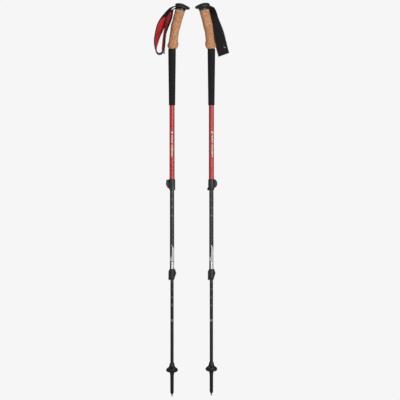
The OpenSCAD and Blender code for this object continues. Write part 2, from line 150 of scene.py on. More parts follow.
class Mat:
    """A material with a Principled shader, and short ways to add nodes."""

    def __init__(self, name, **uniform):
        self.m = bpy.data.materials.new(name)
        self.m.use_nodes = True
        self.t = self.m.node_tree
        self.p = self.t.nodes["Principled BSDF"]
        for key, value in uniform.items():
            self.p.inputs[key.replace("_", " ")].default_value = value

    def add(self, kind, ins=None, **attrs):
        n = self.t.nodes.new("ShaderNode" + kind)
        for k, v in attrs.items():
            setattr(n, k, v)
        for k, v in (ins or {}).items():
            self.put(n.inputs[k], v)
        return n

    def put(self, socket, value):
        if isinstance(value, bpy.types.NodeSocket):
            self.t.links.new(value, socket)
        else:
            socket.default_value = value

    def coords(self, scale=(1, 1, 1), uv=False):
        c = self.add("TexCoord").outputs["UV" if uv else "Object"]
        return self.add("Mapping", {"Vector": c, "Scale": scale}).outputs[0]

    def noise(self, vec, scale, detail=3, rough=0.5, out="Fac"):
        n = self.add("TexNoise", {"Vector": vec, "Scale": scale, "Detail": detail,
                                  "Roughness": rough})
        return n.outputs[out]

    def voronoi(self, vec, scale, feature="F1", out="Distance"):
        return self.add("TexVoronoi", {"Vector": vec, "Scale": scale}, feature=feature).outputs[out]

    def math(self, op, a, b=0.0):
        return self.add("Math", {0: a, 1: b}, operation=op).outputs[0]

    def span(self, value, lo, hi, to_lo=0.0, to_hi=1.0):
        n = self.add("MapRange", {"Value": value, "From Min": lo, "From Max": hi,
                                  "To Min": to_lo, "To Max": to_hi})
        return n.outputs[0]

    def mix(self, fac, a, b):
        return self.add("Mix", {0: fac, 6: a, 7: b}, data_type="RGBA").outputs[2]

    def ramp(self, fac, stops):
        n = self.add("ValToRGB", {0: fac})
        while len(n.color_ramp.elements) < len(stops):
            n.color_ramp.elements.new(0.5)
        for e, (at, colour) in zip(n.color_ramp.elements, stops):
            e.position = at
            e.color = colour
        return n.outputs[0]

    def bump(self, height, strength, distance, normal=None):
        ins = {"Height": height, "Strength": strength, "Distance": distance}
        if normal is not None:
            ins["Normal"] = normal
        return self.add("Bump", ins).outputs[0]

    def edges(self, radius, samples=6):
        """(rounded normal, how near an edge a point is from 0 to 1)"""
        b = self.add("Bevel", {"Radius": radius}, samples=samples).outputs[0]
        g = self.add("NewGeometry").outputs["Normal"]
        dot = self.add("VectorMath", {0: b, 1: g}, operation="DOT_PRODUCT")
        return b, self.span(dot.outputs["Value"], 0.995, 0.86)

    def set(self, **links):
        for key, value in links.items():
            self.put(self.p.inputs[key.replace("_", " ")], value)
        return self.m


def rgb(r, g, b):
    """An sRGB colour from 0 to 255 as a linear one."""
    out = []
    for c in (r, g, b):
        c /= 255
        out.append(c / 12.92 if c <= 0.04045 else ((c + 0.055) / 1.055) ** 2.4)
    return (*out, 1.0)


def tube_material(name, dark, light, metallic, roughness, coat=0.0):
    """Satin anodised aluminium with drawn lines along the tube."""
    m = Mat(name, Metallic=metallic, Coat_Weight=coat, Coat_Roughness=0.22)
    lines = m.noise(m.coords((1, 1, 0.012)), 2600, 2)
    cloud = m.noise(m.coords((1, 1, 0.25)), 45, 3)
    tone = m.math("ADD", m.math("MULTIPLY", lines, 0.55), m.math("MULTIPLY", cloud, 0.45))
    specks = m.span(m.noise(m.coords(), 900, 2), 0.68, 0.74)
    colour = m.mix(m.span(tone, 0.38, 0.62), dark, light)
    colour = m.mix(m.math("MULTIPLY", specks, 0.1), colour, light)
    normal, edge = m.edges(0.0004)
    rough = m.math("ADD", m.span(tone, 0.3, 0.7, roughness - 0.05, roughness + 0.06),
                   m.math("MULTIPLY", edge, -0.08))
    bare = (0.45, 0.44, 0.43, 1)
    return m.set(Base_Color=m.mix(m.math("MULTIPLY", edge, 0.5), colour, bare), Roughness=rough,
                 Normal=m.bump(lines, 0.12, 0.00004, normal))


def plastic_material(name, dark, light, roughness=0.45, grain=0.3, shine=0.5):
    """Moulded plastic with a fine spark-eroded grain and paler rubbed edges."""
    m = Mat(name, Specular_IOR_Level=shine)
    vec = m.coords()
    fine = m.noise(vec, 2400, 4, 0.6)
    cloud = m.noise(vec, 60, 3)
    colour = m.mix(m.span(cloud, 0.35, 0.65), dark, light)
    normal, edge = m.edges(0.0005)
    rub = m.math("MULTIPLY", edge, m.span(m.noise(vec, 380, 3), 0.35, 0.65, 0.15, 0.75))
    colour = m.mix(rub, colour, tuple(2 * c + 0.02 for c in light[:3]) + (1.0,))
    rough = m.math("ADD", m.span(fine, 0.3, 0.7, roughness - 0.06, roughness + 0.08),
                   m.math("MULTIPLY", rub, -0.1))
    return m.set(Base_Color=colour, Roughness=rough, Normal=m.bump(fine, grain, 0.0001, normal))


def steel_material(name, colour, roughness):
    m = Mat(name, Metallic=1.0)
    vec = m.coords()
    fine = m.noise(vec, 1500, 4, 0.6)
    stain = m.noise(vec, 180, 3)
    dull = tuple(0.6 * c for c in colour[:3]) + (1.0,)
    normal, edge = m.edges(0.0002)
    return m.set(Base_Color=m.mix(m.span(stain, 0.4, 0.62), colour, dull),
                 Roughness=m.span(fine, 0.3, 0.7, roughness - 0.08, roughness + 0.1),
                 Normal=m.bump(fine, 0.2, 0.00005, normal))


def cork_material():
    """Pressed cork granules: cells of differing tan, dark bark specks and small pits painted dark
    as painted shade.
    """
    m = Mat("cork")
    warp = m.noise(m.coords(), 260, 3, out="Color")
    shift = m.add("VectorMath", {0: warp, "Scale": 0.0022}, operation="SCALE").outputs[0]
    moved = m.add("VectorMath", {0: shift, 1: m.coords()}, operation="ADD").outputs[0]
    cell = m.add("SeparateColor", {0: m.voronoi(moved, 430, out="Color")}).outputs
    small = m.add("SeparateColor", {0: m.voronoi(moved, 1150, out="Color")}).outputs
    gap = m.voronoi(moved, 430, "DISTANCE_TO_EDGE")
    tone = m.math("ADD", m.math("MULTIPLY", cell[0], 0.62), m.math("MULTIPLY", small[1], 0.38))
    colour = m.ramp(tone, [(0.0, rgb(138, 91, 57)), (0.3, rgb(171, 118, 79)),
                           (0.62, rgb(190, 137, 96)), (1.0, rgb(207, 160, 119))])
    cloud = m.noise(m.coords(), 38, 4)
    colour = m.mix(m.span(cloud, 0.35, 0.7, 0.0, 0.45), colour, rgb(168, 110, 68))
    bark = m.math("GREATER_THAN", cell[2], 0.93)
    colour = m.mix(m.math("MULTIPLY", bark, 0.62), colour, rgb(92, 58, 36))
    pits = m.math("MULTIPLY", m.span(m.noise(m.coords(), 1500, 3, 0.65), 0.66, 0.74),
                  m.span(m.noise(m.coords(), 240, 2), 0.42, 0.6))
    # painted shade: the pits are darkened where the bump sinks them
    colour = m.mix(m.math("MULTIPLY", pits, 0.8), colour, rgb(70, 42, 26))
    line = m.span(gap, 0.0, 0.05)
    colour = m.mix(m.span(line, 0, 1, 0.35, 0.0), colour, rgb(110, 70, 44))
    height = m.math("SUBTRACT", m.math("ADD", m.math("MULTIPLY", line, 0.35),
                                       m.math("MULTIPLY", cell[1], 0.25)),
                    m.math("MULTIPLY", pits, 0.8))
    grain = m.noise(m.coords(), 3200, 2)
    height = m.math("ADD", height, m.math("MULTIPLY", grain, 0.2))
    return m.set(Base_Color=colour, Roughness=m.span(cloud, 0.3, 0.7, 0.68, 0.82),
                 Normal=m.bump(height, 0.55, 0.00025))


def foam_material():
    """Closed-cell foam: a matt skin of fine pores, painted darker in the pores as painted shade."""
    m = Mat("foam", Specular_IOR_Level=0.25)
    vec = m.coords()
    pores = m.voronoi(vec, 1500)
    cloud = m.noise(vec, 50, 4)
    colour = m.mix(m.span(cloud, 0.35, 0.65), rgb(17, 17, 16), rgb(27, 26, 25))
    # painted shade: each pore is darkened towards its middle, where it sinks into the skin
    colour = m.mix(m.span(pores, 0.5, 0.2, 0.0, 0.4), colour, rgb(10, 10, 9))
    height = m.math("ADD", pores, m.math("MULTIPLY", m.noise(vec, 700, 4), 0.6))
    return m.set(Base_Color=colour, Roughness=m.span(cloud, 0.3, 0.7, 0.78, 0.92),
                 Normal=m.bump(height, 0.4, 0.0002))


def rubber_material():
    """Soft-touch rubber with a fine pebbled grain, shinier where hands rub it."""
    m = Mat("head_rubber", Specular_IOR_Level=0.3)
    vec = m.coords()
    pebble = m.voronoi(vec, 1100, "SMOOTH_F1")
    cloud = m.noise(vec, 55, 4)
    colour = m.mix(m.span(cloud, 0.35, 0.65), rgb(9, 10, 8), rgb(16, 16, 14))
    dust = m.span(m.noise(vec, 500, 5, 0.7), 0.6, 0.75)
    colour = m.mix(m.math("MULTIPLY", dust, 0.1), colour, rgb(110, 106, 98))
    return m.set(Base_Color=colour, Roughness=m.span(cloud, 0.35, 0.65, 0.44, 0.62),
                 Normal=m.bump(pebble, 0.3, 0.00015))


def webbing_material(name, dark, light, thread=(0.6, 1.1)):
    """Woven ribs from the band's own length and width, in metres in its UV map."""
    m = Mat(name, Specular_IOR_Level=0.3)
    uv = m.coords(uv=True)
    xy = m.add("SeparateXYZ", {0: uv}).outputs
    across = m.math("SINE", m.math("MULTIPLY", xy[0], 2 * math.pi / (thread[0] * MM)))
    along = m.math("MULTIPLY", xy[1], 2 * math.pi / (thread[1] * MM))
    shift = m.math("MULTIPLY", m.math("GREATER_THAN", across, 0.0), math.pi)
    weft = m.math("SINE", m.math("ADD", along, shift))
    height = m.math("ADD", m.math("MULTIPLY", m.math("ABSOLUTE", across), 0.6),
                    m.math("MULTIPLY", weft, 0.4))
    fuzz = m.noise(m.coords(), 1800, 3, 0.7)
    cloud = m.noise(m.coords(), 70, 3)
    # painted shade: through the weave height the colour is darker in the hollows between threads
    # and lighter on the ribs; fuzz and cloud add random tone
    tone = m.math("ADD", m.math("MULTIPLY", height, 0.45), m.math("MULTIPLY", fuzz, 0.6))
    tone = m.math("ADD", tone, m.math("MULTIPLY", cloud, 0.4))
    colour = m.mix(m.span(tone, 0.3, 1.25), dark, light)
    return m.set(Base_Color=colour, Roughness=m.span(fuzz, 0.3, 0.7, 0.66, 0.86),
                 Normal=m.bump(height, 0.7, 0.0002))


def fleece_material():
    """Brushed lining: short pile with clumps and a soft sheen."""
    m = Mat("lining", Sheen_Weight=0.25, Sheen_Roughness=0.35)
    m.p.inputs["Sheen Tint"].default_value = rgb(240, 120, 120)
    vec = m.coords()
    pile = m.noise(vec, 2200, 4, 0.7)
    clump = m.noise(vec, 240, 4, 0.6)
    cloud = m.noise(vec, 45, 3)
    colour = m.mix(m.span(clump, 0.3, 0.7), rgb(152, 12, 18), rgb(208, 32, 38))
    colour = m.mix(m.span(cloud, 0.4, 0.7, 0.0, 0.45), colour, rgb(112, 8, 13))
    height = m.math("ADD", pile, m.math("MULTIPLY", clump, 1.4))
    return m.set(Base_Color=colour, Roughness=m.span(pile, 0.3, 0.7, 0.75, 0.95),
                 Normal=m.bump(height, 0.6, 0.0003))


def thread_material(name, dark, light):
    m = Mat(name, Sheen_Weight=0.3)
    vec = m.coords()
    twist = m.noise(vec, 2600, 2)
    return m.set(Base_Color=m.mix(m.span(twist, 0.35, 0.65), dark, light),
                 Roughness=m.span(twist, 0.3, 0.7, 0.5, 0.7),
                 Normal=m.bump(twist, 0.4, 0.0001))


def print_material(name, colour, roughness=0.5):
    """Printed ink, thinned and scuffed in small spots."""
    m = Mat(name)
    vec = m.coords()
    scuff = m.span(m.noise(vec, 700, 5, 0.7), 0.62, 0.72)
    worn = tuple(0.35 * c for c in colour[:3]) + (1.0,)
    tone = m.mix(m.math("MULTIPLY", scuff, 0.5), colour, worn)
    cloud = m.noise(vec, 90, 3)
    tone = m.mix(m.span(cloud, 0.4, 0.7, 0.0, 0.2), tone, worn)
    return m.set(Base_Color=tone,
                 Roughness=m.span(cloud, 0.3, 0.7, roughness - 0.1, roughness + 0.1),
                 Normal=m.bump(m.noise(vec, 1600, 2), 0.1, 0.00005))


RUBBER = rubber_material()
CORK = cork_material()
FOAM = foam_material()
RED = tube_material("red_anodised", rgb(154, 45, 47), rgb(174, 57, 59), 0.45, 0.42, 0.15)
GREY = tube_material("grey_anodised", rgb(34, 34, 34), rgb(46, 46, 45), 0.5, 0.42, 0.1)
BLACK = tube_material("black_anodised", rgb(13, 13, 13), rgb(23, 23, 23), 0.5, 0.44, 0.05)
BASE = plastic_material("head_plastic", rgb(17, 19, 27), rgb(26, 29, 40), 0.35, 0.2)
CLAMP = plastic_material("clamp_plastic", rgb(24, 25, 23), rgb(35, 35, 33), 0.45, 0.3, 0.4)
LEVER = plastic_material("lever_plastic", rgb(20, 21, 19), rgb(32, 32, 30), 0.4)
INNER = plastic_material("inner_plastic", rgb(60, 60, 60), rgb(76, 76, 76))
BUSH = plastic_material("bush_plastic", rgb(205, 205, 200), rgb(225, 225, 218), 0.4, 0.15)
TIP = plastic_material("tip_plastic", rgb(5, 5, 5), rgb(12, 12, 11), 0.4, 0.15, 0.22)
BASKET = plastic_material("basket_plastic", rgb(11, 11, 11), rgb(21, 21, 20), 0.42, 0.2, 0.3)
STEEL = steel_material("steel", (0.1, 0.1, 0.105, 1), 0.36)
CARBIDE = steel_material("carbide", (0.11, 0.11, 0.11, 1), 0.4)
WEBBING = webbing_material("webbing", rgb(3, 3, 3), rgb(12, 12, 11))
BINDING = webbing_material("binding", rgb(6, 7, 10), rgb(20, 22, 28), (0.45, 0.45))
LINING = fleece_material()
THREAD = thread_material("thread", rgb(46, 46, 48), rgb(78, 78, 80))
GREY_THREAD = thread_material("grey_thread", rgb(120, 120, 122), rgb(170, 170, 172))
WHITE_INK = print_material("white_ink", rgb(246, 246, 244))
CREAM_INK = print_material("cream_ink", rgb(204, 196, 180))
SILVER_INK = print_material("silver_ink", rgb(176, 176, 175), 0.4)
MARK_INK = print_material("mark_ink", rgb(128, 128, 126))

NODE_MATERIAL = {
    "head_cap": RUBBER, "head_base": BASE, "grip_core": INNER, "cork_grip": CORK,
    "strap_wedge": INNER, "strap_pin": STEEL, "wrist_strap": WEBBING, "strap_lining": LINING,
    "foam_sleeve": FOAM, "upper_tube": RED, "upper_collar": CLAMP, "upper_lever": LEVER,
    "upper_cam_pin": STEEL, "upper_screw": STEEL, "middle_tube": GREY, "middle_bush": BUSH,
    "lower_collar": CLAMP, "lower_lever": LEVER, "lower_cam_pin": STEEL, "lower_screw": STEEL,
    "lower_tube": BLACK, "lower_bush": BUSH, "ferrule": TIP, "basket": BASKET,
    "carbide_tip": CARBIDE,
}


def paint(obj, material):
    if not obj.material_slots:
        obj.data.materials.append(material)
    for s in obj.material_slots:
        s.material = material


for node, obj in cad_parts.items():
    paint(obj, NODE_MATERIAL[node.split("_", 1)[1]])


def piece(obj, body, material, replaced=()):
    paint(obj, material)
    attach(obj, body)
    if replaced:
        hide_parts(*replaced)
    return obj


# ---- cork grip ----

# height, centre, half depth, half width
CORK_ROWS = [
    (0, 1.5, 11.9, 11.9), (3, 2, 13, 12.8), (7, 2, 15.8, 14.2), (12, 2.8, 16.5, 14.6),
    (17, 4, 15.8, 14), (22, 4.3, 14.4, 13), (28, 4.5, 13.6, 12.6), (40, 6, 13.4, 12.5),
    (52, 7.6, 13.2, 12.6), (64, 10.2, 14.3, 13.2), (74, 12.4, 14.9, 13.6),
    (84, 15.2, 14.4, 13.4), (96, 18.4, 14.7, 13.2), (108, 22, 15, 13.2),
    (118, 24.5, 15.2, 13.4),
]
CORK_SIDES = 72


def cork_ring(row, shrink=0.0):
    h, centre, depth, width = row
    tilt = math.radians(CANT * h / CORK_H)
    ring = []
    for j in range(CORK_SIDES):
        a = 2 * math.pi * j / CORK_SIDES
        u = (depth - shrink) * math.cos(a)
        ring.append((centre + u * math.cos(tilt), (width - shrink) * math.sin(a),
                     CORK_Z + h - u * math.sin(tilt)))
    return ring


def cork_grip(side):
    rows = smooth_rows(CORK_ROWS, 8)
    rings = [cork_ring(rows[0], 1.2), cork_ring((0.15,) + tuple(rows[0][1:]), 0.5)]
    rings += [cork_ring(r) for r in rows[1:-1]]
    rings += [cork_ring((117.8,) + tuple(rows[-1][1:]), 0.3), cork_ring(rows[-1], 1.2)]
    obj = loft(f"{side}_cork", rings, at_grip(side), angle=60)
    return piece(obj, f"{side}_grip", CORK, [f"{side}_cork_grip"])


# ---- head cap ----

# station along the beak, half width, top, bottom
CAP_ROWS = [
    (9.3, 6.5, 1194.2, 1189), (9.7, 9.6, 1196.2, 1187.2), (10.6, 11.8, 1197.6, 1186.4),
    (12.5, 13.3, 1198.6, 1185.9), (15.5, 14.2, 1199.4, 1185.2), (19, 14.6, 1199.85, 1184.4),
    (23, 14.6, 1199.9, 1183.6), (27, 14.4, 1199.4, 1182.7), (31, 13.9, 1198.3, 1181.8),
    (35, 12.7, 1196.8, 1181), (39, 10.8, 1194.9, 1180.2), (43, 8.8, 1192.8, 1179.8),
    (46.5, 7, 1191.1, 1179.8), (49.5, 5.4, 1189.3, 1179.9), (52, 3.9, 1187.7, 1180.3),
    (53.4, 2.6, 1186.5, 1181.1), (54.1, 1.1, 1185.3, 1182.5),
]
CAP_SIDES = 64
CAP_SEAM_X = 45.6  # a groove round the beak
STRAP_PIN_X = 13.5
STRAP_PIN_UP = 9.5  # above the top of the cork
# outline of the strap slot in the cap, from the strap pin: along the beak and up
STRAP_SLOT = [
    (3.7, -4), (-1, -4.2), (-5.5, -5.7), (-30, -25), (-30, 34), (-3.2, 8), (0.7, 4.5), (3.7, 4.5),
]
STRAP_SLOT_HALF = 11


def power(c, p):
    """A power that keeps the sign, for rounded square outlines."""
    return math.copysign(abs(c) ** p, c)


def cap_ring(row):
    x, w, top, bottom = row
    groove = 1 - 0.075 * math.exp(-(((x - CAP_SEAM_X) / 0.55) ** 2))
    mid = bottom + (top - bottom) * 0.42
    ring = []
    for j in range(CAP_SIDES):
        a = 2 * math.pi * j / CAP_SIDES
        up = math.sin(a) >= 0
        y = w * groove * power(math.cos(a), 0.72 if up else 0.5)
        h = (top - mid) if up else (mid - bottom)
        ring.append((x, y, mid + h * groove * power(math.sin(a), 0.8 if up else 0.5)))
    return ring


def cut(obj, other):
    """Takes other away from obj and removes it."""
    mod = obj.modifiers.new("cut", "BOOLEAN")
    mod.operation = "DIFFERENCE"
    mod.object = other
    mod.solver = "EXACT"
    graph = bpy.context.evaluated_depsgraph_get()
    mesh = bpy.data.meshes.new_from_object(obj.evaluated_get(graph))
    obj.modifiers.clear()
    obj.data = mesh
    bpy.data.objects.remove(other)


def box_object(name, spans):
    (x0, x1), (y0, y1), (z0, z1) = spans
    verts = [(x, y, z) for x in (x0, x1) for y in (y0, y1) for z in (z0, z1)]
    faces = [(0, 1, 3, 2), (4, 6, 7, 5), (0, 4, 5, 1), (2, 3, 7, 6), (0, 2, 6, 4), (1, 5, 7, 3)]
    return mesh_object(name, verts, faces)


def head_cap(side):
    rings = [cap_ring(r) for r in smooth_rows(CAP_ROWS, 7)]
    obj = loft(f"{side}_head", rings, at_grip(side), angle=50)
    ends = [[(STRAP_PIN_X + x, y, HEAD_Z + STRAP_PIN_UP + z) for x, z in STRAP_SLOT]
            for y in (-STRAP_SLOT_HALF, STRAP_SLOT_HALF)]
    cut(obj, loft("cutter", ends, at_grip(side)))
    obj.data.shade_smooth()
    obj.data.set_sharp_from_angle(angle=math.radians(50))
    return piece(obj, f"{side}_grip", RUBBER, [f"{side}_head_cap"])


# ---- foam sleeve ----


def foam_sleeve(side):
    top = CORK_Z - FOAM_Z
    outline = [
        (UPPER_R, 0), (8.3, 0), (8.9, 0.25), (9.4, 0.9), (9.7, 1.9), (9.8, 12), (9.95, 30),
        (10.1, 42), (10.3, 58), (10.5, 72), (10.7, 88), (10.9, 102), (11.2, 126), (11.5, 150),
        (11.6, top - 1.4), (11.35, top - 0.5), (10.9, top), (UPPER_R, top),
    ]
    fine = []
    for (r0, z0), (r1, z1) in zip(outline, outline[1:]):
        count = max(1, round(abs(z1 - z0) / 3))
        fine += [(r0 + (r1 - r0) * k / count, z0 + (z1 - z0) * k / count) for k in range(count)]
    fine.append(outline[-1])
    matrix = at_grip(side) @ Matrix.Translation((0, 0, FOAM_Z * MM))
    obj = lathe(f"{side}_foam", fine, matrix, 80)
    return piece(obj, f"{side}_grip", FOAM, [f"{side}_foam_sleeve"])


# ---- wrist strap ----

WEBBING_T = 1.6
LINING_T = 2.4
ROOT_W = 18.0
WRIST_W = 34.0
TAPER = 100.0
STRAP_ROUTE = {
    "left": [
        ((13.5, 0, 1189.2), (0, 0, -1)), ((6, 0, 1188.2), (0.1, 0, -1)),
        ((-2, 0.8, 1184), (0.3, -0.1, -0.9)), ((-10, 3.5, 1175.5), (0.5, -0.3, -0.7)),
        ((-19, 7, 1161), (0.65, -0.6, -0.4)), ((-27, 7.5, 1146), (0.62, -0.7, -0.35)),
        ((-34, 6.5, 1131), (0.68, -0.66, -0.3)), ((-40, 5, 1115), (0.8, -0.52, -0.2)),
        ((-45, 3, 1098), (0.88, -0.38, -0.05)), ((-48.5, 1, 1081), (0.94, -0.28, 0)),
        ((-49.5, 0, 1066), (1, -0.12, 0.1)), ((-48, 0, 1053), (0.9, 0, 0.4)),
        ((-43, 0, 1046), (0.4, 0, 0.9)), ((-35, 0, 1045.5), (-0.3, 0, 1)),
        ((-29.5, 0, 1051), (-0.9, 0, 0.4)), ((-27.5, 0, 1062), (-1, -0.2, 0.1)),
        ((-26, -0.3, 1078), (-1, -0.22, 0)), ((-24.5, -0.8, 1094), (-1, -0.2, 0.1)),
        ((-22, -1.5, 1111), (-0.98, -0.22, 0.2)), ((-17.9, -3, 1128), (-0.93, -0.3, 0.3)),
        ((-13.8, -4.5, 1144), (-0.8, -0.5, 0.35)), ((-9, -5, 1159), (-0.7, -0.6, 0.4)),
        ((-3, -2.8, 1173), (-0.55, -0.35, 0.7)), ((5.5, -0.3, 1183.6), (-0.25, -0.05, 0.95)),
        ((13.5, 0, 1185.8), (0, 0, 1)),
    ],
    "right": [
        ((-12.2, -5.7, 1185.8), (0, 0, 1)), ((-5.4, -2.5, 1184.2), (0.25, 0.1, 1)),
        ((0, 0.6, 1178.5), (0.55, 0.3, 0.7)), ((3, 2.6, 1171), (0.4, 0.8, 0.35)),
        ((6.2, 5, 1160), (0.15, 1, 0.1)), ((10.4, 7, 1147), (0, 1, 0)),
        ((15, 7.8, 1131), (0, 1, 0)), ((19.8, 7.6, 1115), (0, 1, 0)),
        ((24.2, 7.2, 1098), (0, 1, 0)), ((28.4, 7.2, 1081), (0, 1, 0)),
        ((32.2, 8, 1066), (0, 1, 0.1)), ((35.6, 10, 1052.5), (-0.1, 0.9, 0.4)),
        ((37.6, 12.8, 1046), (-0.25, 0.5, 0.8)), ((38.1, 16, 1045), (-0.34, 0, 0.94)),
        ((37.5, 19.2, 1046.6), (-0.25, -0.5, 0.8)), ((35.6, 22, 1052.5), (-0.1, -0.9, 0.4)),
        ((32.2, 24, 1066), (0, -1, 0.1)), ((28.4, 24.9, 1081), (0, -1, 0)),
        ((24.2, 25, 1098), (0, -1, 0)), ((19.8, 24.2, 1115), (0, -1, 0)),
        ((15, 22, 1131), (0, -1, 0)), ((10.6, 18.5, 1147), (0, -1, -0.1)),
        ((7, 14.2, 1160), (0, -1, -0.2)), ((3.2, 8.4, 1173), (-0.15, -0.8, -0.6)),
        ((-0.6, 1.6, 1183.5), (-0.15, -0.3, -0.95)), ((-5.4, -2.5, 1188.4), (0, 0, -1)),
        ((-12.2, -5.7, 1189.2), (0, 0, -1)),
    ],
}
# The turn round the strap pin that closes the band: a point and the way it faces
PIN_TURN = {
    "left": ((15.1, 0, 1187.5), (-1, 0, 0)),
    "right": ((-13.7, -6.4, 1187.5), (0.91, 0.42, 0)),
}
STRAP_STEPS = 9


class Band:
    """The strap's middle line as frames: a point, along, across, inward and half width."""

    def __init__(self, side):
        rows = [list(p) + list(f) for p, f in STRAP_ROUTE[side]]
        turn = PIN_TURN[side]
        values = smooth_rows(rows + [list(turn[0]) + list(turn[1])], STRAP_STEPS, closed=True)
        self.count = len(values)
        self.points = [Vector(v[:3]) for v in values]
        faces = [Vector(v[3:]) for v in values]
        # the taper runs over the open route, so the pin turn keeps the root width
        self.open = (len(rows) - 1) * STRAP_STEPS
        lengths = [0.0]
        for a, b in zip(self.points, self.points[1:]):
            lengths.append(lengths[-1] + (b - a).length)
        self.lengths = lengths
        total = lengths[self.open]
        self.along, self.across, self.inward, self.half = [], [], [], []
        for i in range(self.count):
            d = (self.points[(i + 1) % self.count] - self.points[i - 1]).normalized()
            across = faces[i].cross(d).normalized()
            self.along.append(d)
            self.across.append(across)
            self.inward.append(d.cross(across))
            end = max(0.0, min(lengths[i], total - lengths[i])) if i <= self.open else 0.0
            k = min(end / TAPER, 1)
            self.half.append((ROOT_W + (WRIST_W - ROOT_W) * k * k * (3 - 2 * k)) / 2)

    def at(self, i, a, t):
        return self.points[i] + self.across[i] * a + self.inward[i] * t


def rounded(half, low, high, corner, across=14, arc=4):
    """Outline of a flat band's section: width 2 half, from low to high, round corners."""
    pts = []
    mid_a = half - corner
    corners = [(mid_a, high - corner), (-mid_a, high - corner),
               (-mid_a, low + corner), (mid_a, low + corner)]
    for k, (ca, ct) in enumerate(corners):
        start = 90 * k
        for s in range(arc + 1):
            ang = math.radians(start + 90 * s / arc)
            pts.append((ca + corner * math.cos(ang), ct + corner * math.sin(ang)))
        nxt = corners[(k + 1) % 4]
        end = math.radians(start + 90)
        a0 = (ca + corner * math.cos(end), ct + corner * math.sin(end))
        b0 = (nxt[0] + corner * math.cos(end), nxt[1] + corner * math.sin(end))
        if abs(a0[0] - b0[0]) > 2 * corner:
            for s in range(1, across):
                f = s / across
                pts.append((a0[0] + (b0[0] - a0[0]) * f, a0[1] + (b0[1] - a0[1]) * f))
    return pts


def add_uv(obj, uvs):
    """uvs: one (across, along) in metres for each vertex."""
    layer = obj.data.uv_layers.new(name="UVMap")
    for loop in obj.data.loops:
        layer.data[loop.index].uv = uvs[loop.vertex_index]


def sweep(name, band, indices, section, matrix, closed=False):
    """section(i) gives (across, inward) points; the UV map is metres across and along."""
    rings, uvs = [], []
    for i in indices:
        pts = section(i)
        rings.append([band.at(i, a, t) for a, t in pts])
        uvs += [(a * MM, band.lengths[i] * MM) for a, t in pts]
    obj = loft(name, rings, matrix, closed=closed, angle=50)
    add_uv(obj, uvs)
    return obj


def capsules(name, segments, radius, matrix, sides=6):
    """One mesh of small round-ended threads, each from a to b."""
    verts, faces = [], []
    for a, b in segments:
        d = (b - a).normalized()
        u = d.orthogonal().normalized()
        v = d.cross(u)
        start = len(verts)
        levels = [(-0.9, 0.35), (-0.45, 0.85), (0, 1), (0, 1), (0.45, 0.85), (0.9, 0.35)]
        for n, (off, scale) in enumerate(levels):
            centre = (a if n < 3 else b) + d * off * radius
            for j in range(sides):
                ang = 2 * math.pi * j / sides
                verts.append(centre + (u * math.cos(ang) + v * math.sin(ang)) * radius * scale)
        faces += ring_faces(len(levels), sides, start)
    return mesh_object(name, verts, faces, matrix, 70)


# edge binding: its width, and how far it stands off the webbing's two faces
BIND_W = 3.2
BIND_OUT = 0.35
BIND_IN = 1.0
# lining: first frame, frames left free at the last end, and the pad's shape
LINING_FIRST = 38
LINING_LAST = {"left": 18, "right": 29}
LINING_INSET = 2.0
LINING_TAPER = 26
LINING_EDGE = 0.75
# stitches and bar tack: pitch, half length and thread radius
STITCH_PITCH = 3.1
STITCH_HALF = 0.95
STITCH_R = 0.26
TACK_ROWS = 15
TACK_PITCH = 0.42
TACK_SLANT = 0.55
TACK_HALF = 1.2
TACK_OFFSET = 8.0
TACK_R = 0.24
TACK_NEAR = {"left": (-50, -12, 1066), "right": (38.7, -10, 1064.5)}
# loose adjusting end
TAIL_W = 19.0
TAIL_T = 1.4
TAIL_TOP = 16  # frames before the end of the route
TAIL_LOW_Z = 1062
TAIL_STEPS = 8  # free steps below the run
TAIL_STEP = 1.9
HEM_HALF = 0.32


def lining_section(band, i, first, last):
    """A puffed pad: flat on the webbing, crowned on the wearer's side, narrower at its ends."""
    end = min(band.lengths[i] - band.lengths[first], band.lengths[last] - band.lengths[i])
    k = min(end / LINING_TAPER, 1)
    inner = (band.half[i] - LINING_INSET) * (0.35 + 0.65 * k * (2 - k))
    pts = [(-inner + 2 * inner * k / 8, -0.05) for k in range(9)]
    for k in range(1, 24):
        a = inner - 2 * inner * k / 24
        rise = (1 - abs(a / inner) ** 4) ** 0.6
        pts.append((a, LINING_EDGE + (LINING_T - LINING_EDGE) * rise))
    return pts


def wrist_strap(side):
    band = Band(side)
    matrix = at_pole(side)
    body = f"{side}_strap"
    web = sweep(f"{side}_strap_webbing", band, range(band.count),
                lambda i: rounded(band.half[i], -WEBBING_T, 0, 0.6), matrix, closed=True)
    piece(web, body, WEBBING, [f"{side}_wrist_strap"])
    first, last = LINING_FIRST, band.open - LINING_LAST[side]
    run = range(first, last + 1)
    pad = sweep(f"{side}_strap_pad", band, run,
                lambda i: lining_section(band, i, first, last), matrix)
    piece(pad, body, LINING, [f"{side}_strap_lining"])
    for edge, sign in (("outer", 1), ("inner", -1)):
        def section(i, sign=sign):
            centre = sign * (band.half[i] + 0.3 - BIND_W / 2)
            low, high = -WEBBING_T - BIND_OUT, BIND_IN
            return [(centre + a, t) for a, t in rounded(BIND_W / 2, low, high, 0.8, 4)]
        tape = sweep(f"{side}_strap_{edge}_binding", band, run, section, matrix)
        piece(tape, body, BINDING)
    stitches(side, band, first, last, matrix)
    bar_tack(side, band, matrix)
    strap_tail(side, band, matrix)


def marks_along(band, first, last, pitch):
    """Places pitch apart along the band, as (frame, share of the way to the next frame)."""
    out = []
    at = band.lengths[first] + pitch
    i = first
    while at < band.lengths[last] - pitch:
        while band.lengths[i + 1] < at:
            i += 1
        f = (at - band.lengths[i]) / (band.lengths[i + 1] - band.lengths[i])
        out.append((i, f))
        at += pitch
    return out


def between(band, i, f, a_from_edge, t, sign):
    """A point in from one edge of the band, part of the way from frame i to the next."""
    p = band.at(i, sign * (band.half[i] - a_from_edge), t)
    q = band.at(i + 1, sign * (band.half[i + 1] - a_from_edge), t)
    return p.lerp(q, f)


